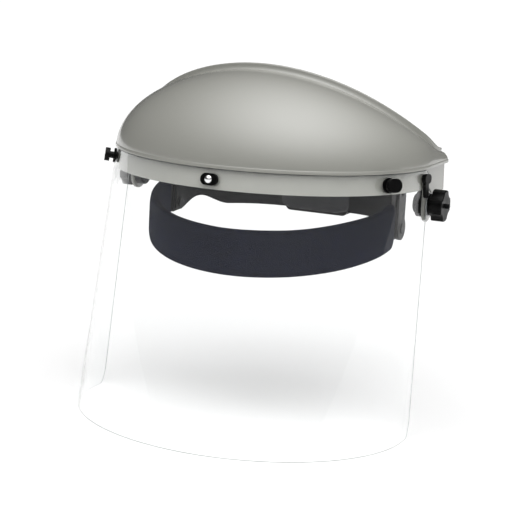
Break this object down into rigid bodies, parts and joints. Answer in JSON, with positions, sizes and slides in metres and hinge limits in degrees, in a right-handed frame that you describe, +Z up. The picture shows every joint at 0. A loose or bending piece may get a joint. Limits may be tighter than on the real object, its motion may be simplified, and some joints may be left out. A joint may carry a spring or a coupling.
{
  "type": "face shield",
  "caption": "Clear bent window hung on a moulded domed crown, tilting on side knobs over a ratchet headgear with a fabric sweatband.",
  "frame": {"origin": "middle of the bounding box on the surface it stands on, level with the lower edge of the window", "axes": "+X is the wearer's left, -Y is the front, +Z is up with the window standing on its lower edge"},
  "size_m": [0.2854, 0.2705, 0.2717],
  "materials": {
    "crown_plastic": "gloss",
    "window_clear": "gloss",
    "chrome": "polished",
    "black_plastic": "satin",
    "arm_plastic": "satin",
    "zinc_steel": "satin",
    "nylon": "matte",
    "navy_fabric": "matte",
    "foam": "matte"
  },
  "bodies": {
    "visor": {"crown": "crown_plastic", "window": "window_clear", "front_stud": "chrome", "front_ring": "black_plastic", "front_nut": "zinc_steel", "turn_washer_left": "zinc_steel", "turn_washer_right": "zinc_steel", "rear_stud_left": "black_plastic", "rear_stud_right": "black_plastic", "rear_washer_left": "zinc_steel", "rear_washer_right": "zinc_steel", "pivot_bolt_left": "zinc_steel", "pivot_bolt_right": "zinc_steel", "pivot_washer_left": "zinc_steel", "pivot_washer_right": "zinc_steel"},
    "headgear": {"pivot_arm_left": "arm_plastic", "pivot_arm_right": "arm_plastic", "friction_washer_left": "nylon", "friction_washer_right": "nylon", "headband": "arm_plastic", "sweatband": "navy_fabric", "rear_strap_left": "arm_plastic", "rear_strap_right": "arm_plastic", "side_rivet_left": "zinc_steel", "side_rivet_right": "zinc_steel", "top_strap_left": "arm_plastic", "top_strap_right": "arm_plastic", "top_peg": "black_plastic", "ratchet_case": "black_plastic", "ratchet_cover": "black_plastic", "nape_pad": "foam"},
    "dial": {"ratchet_dial": "black_plastic", "pinion": "black_plastic"},
    "knob_left": {"tension_knob_left": "black_plastic"},
    "knob_right": {"tension_knob_right": "black_plastic"},
    "lock_left": {"turn_stud_left": "black_plastic"},
    "lock_right": {"turn_stud_right": "black_plastic"}
  },
  "joints": [
    {"name": "headgear_tilt", "type": "hinge", "parent": "visor", "child": "headgear", "pos_m": [0, 0.021, 0.173], "axis": [1, 0, 0], "range_deg": [0, 90]},
    {"name": "dial_turn", "type": "hinge", "parent": "headgear", "child": "dial", "pos_m": [0, 0.127, 0.153], "axis": [0, 1, 0], "range_deg": [-180, 180]},
    {"name": "knob_left_turn", "type": "hinge", "parent": "visor", "child": "knob_left", "pos_m": [0.13, 0.021, 0.173], "axis": [1, 0, 0], "continuous": true},
    {"name": "knob_right_turn", "type": "hinge", "parent": "visor", "child": "knob_right", "pos_m": [-0.13, 0.021, 0.173], "axis": [1, 0, 0], "continuous": true},
    {"name": "lock_left_turn", "type": "hinge", "parent": "visor", "child": "lock_left", "pos_m": [0.11203, -0.03626, 0.193], "axis": [0.8568, -0.4998, 0.1264], "range_deg": [0, 90]},
    {"name": "lock_right_turn", "type": "hinge", "parent": "visor", "child": "lock_right", "pos_m": [-0.11203, -0.03626, 0.193], "axis": [-0.8568, -0.4998, 0.1264], "range_deg": [-90, 0]}
  ]
}
